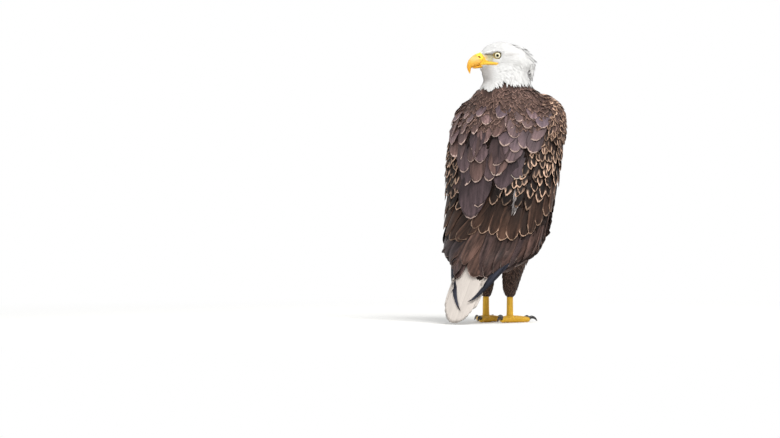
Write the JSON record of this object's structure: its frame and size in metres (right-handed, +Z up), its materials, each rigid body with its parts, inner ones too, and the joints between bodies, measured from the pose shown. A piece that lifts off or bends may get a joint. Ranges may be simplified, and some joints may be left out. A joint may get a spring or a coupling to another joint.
{
  "type": "bald eagle",
  "caption": "Life-size still bald eagle, standing upright with folded wings and looking back over its left shoulder, resting on its feet and tail tip.",
  "frame": {"origin": "on the floor, below the middle of the bird's overall box", "axes": "+Z up; the breast faces -Y and the bird's left side is +X"},
  "size_m": [0.3444, 0.3996, 0.7795],
  "materials": {
    "white_plumage": "overlapping soft white feathers",
    "brown_plumage": "overlapping brown feathers with narrow pale edges",
    "wing_plumage": "overlapping brown feathers with buff edges",
    "dark_quills": "stiff blackish flight feathers",
    "cream_plumage": "creamy white tail feathers",
    "bill_horn": "smooth yellow horn, duller over the cere",
    "leg_scales": "yellow scaled skin",
    "claw_horn": "polished black horn",
    "eye": "wet pale yellow iris round a black pupil"
  },
  "bodies": {
    "root": {"head": "white_plumage", "neck": "white_plumage", "trunk": "brown_plumage", "tail": "cream_plumage", "bill_upper": "bill_horn", "bill_lower": "bill_horn", "eye_left": "eye", "wing_left": "wing_plumage", "wing_tip_left": "dark_quills", "thigh_left": "brown_plumage", "shank_left": "leg_scales", "foot_left": "leg_scales", "claw_inner_left": "claw_horn", "claw_middle_left": "claw_horn", "claw_outer_left": "claw_horn", "claw_hind_left": "claw_horn", "eye_right": "eye", "wing_right": "wing_plumage", "wing_tip_right": "dark_quills", "thigh_right": "brown_plumage", "shank_right": "leg_scales", "foot_right": "leg_scales", "claw_inner_right": "claw_horn", "claw_middle_right": "claw_horn", "claw_outer_right": "claw_horn", "claw_hind_right": "claw_horn"}
  },
  "joints": []
}
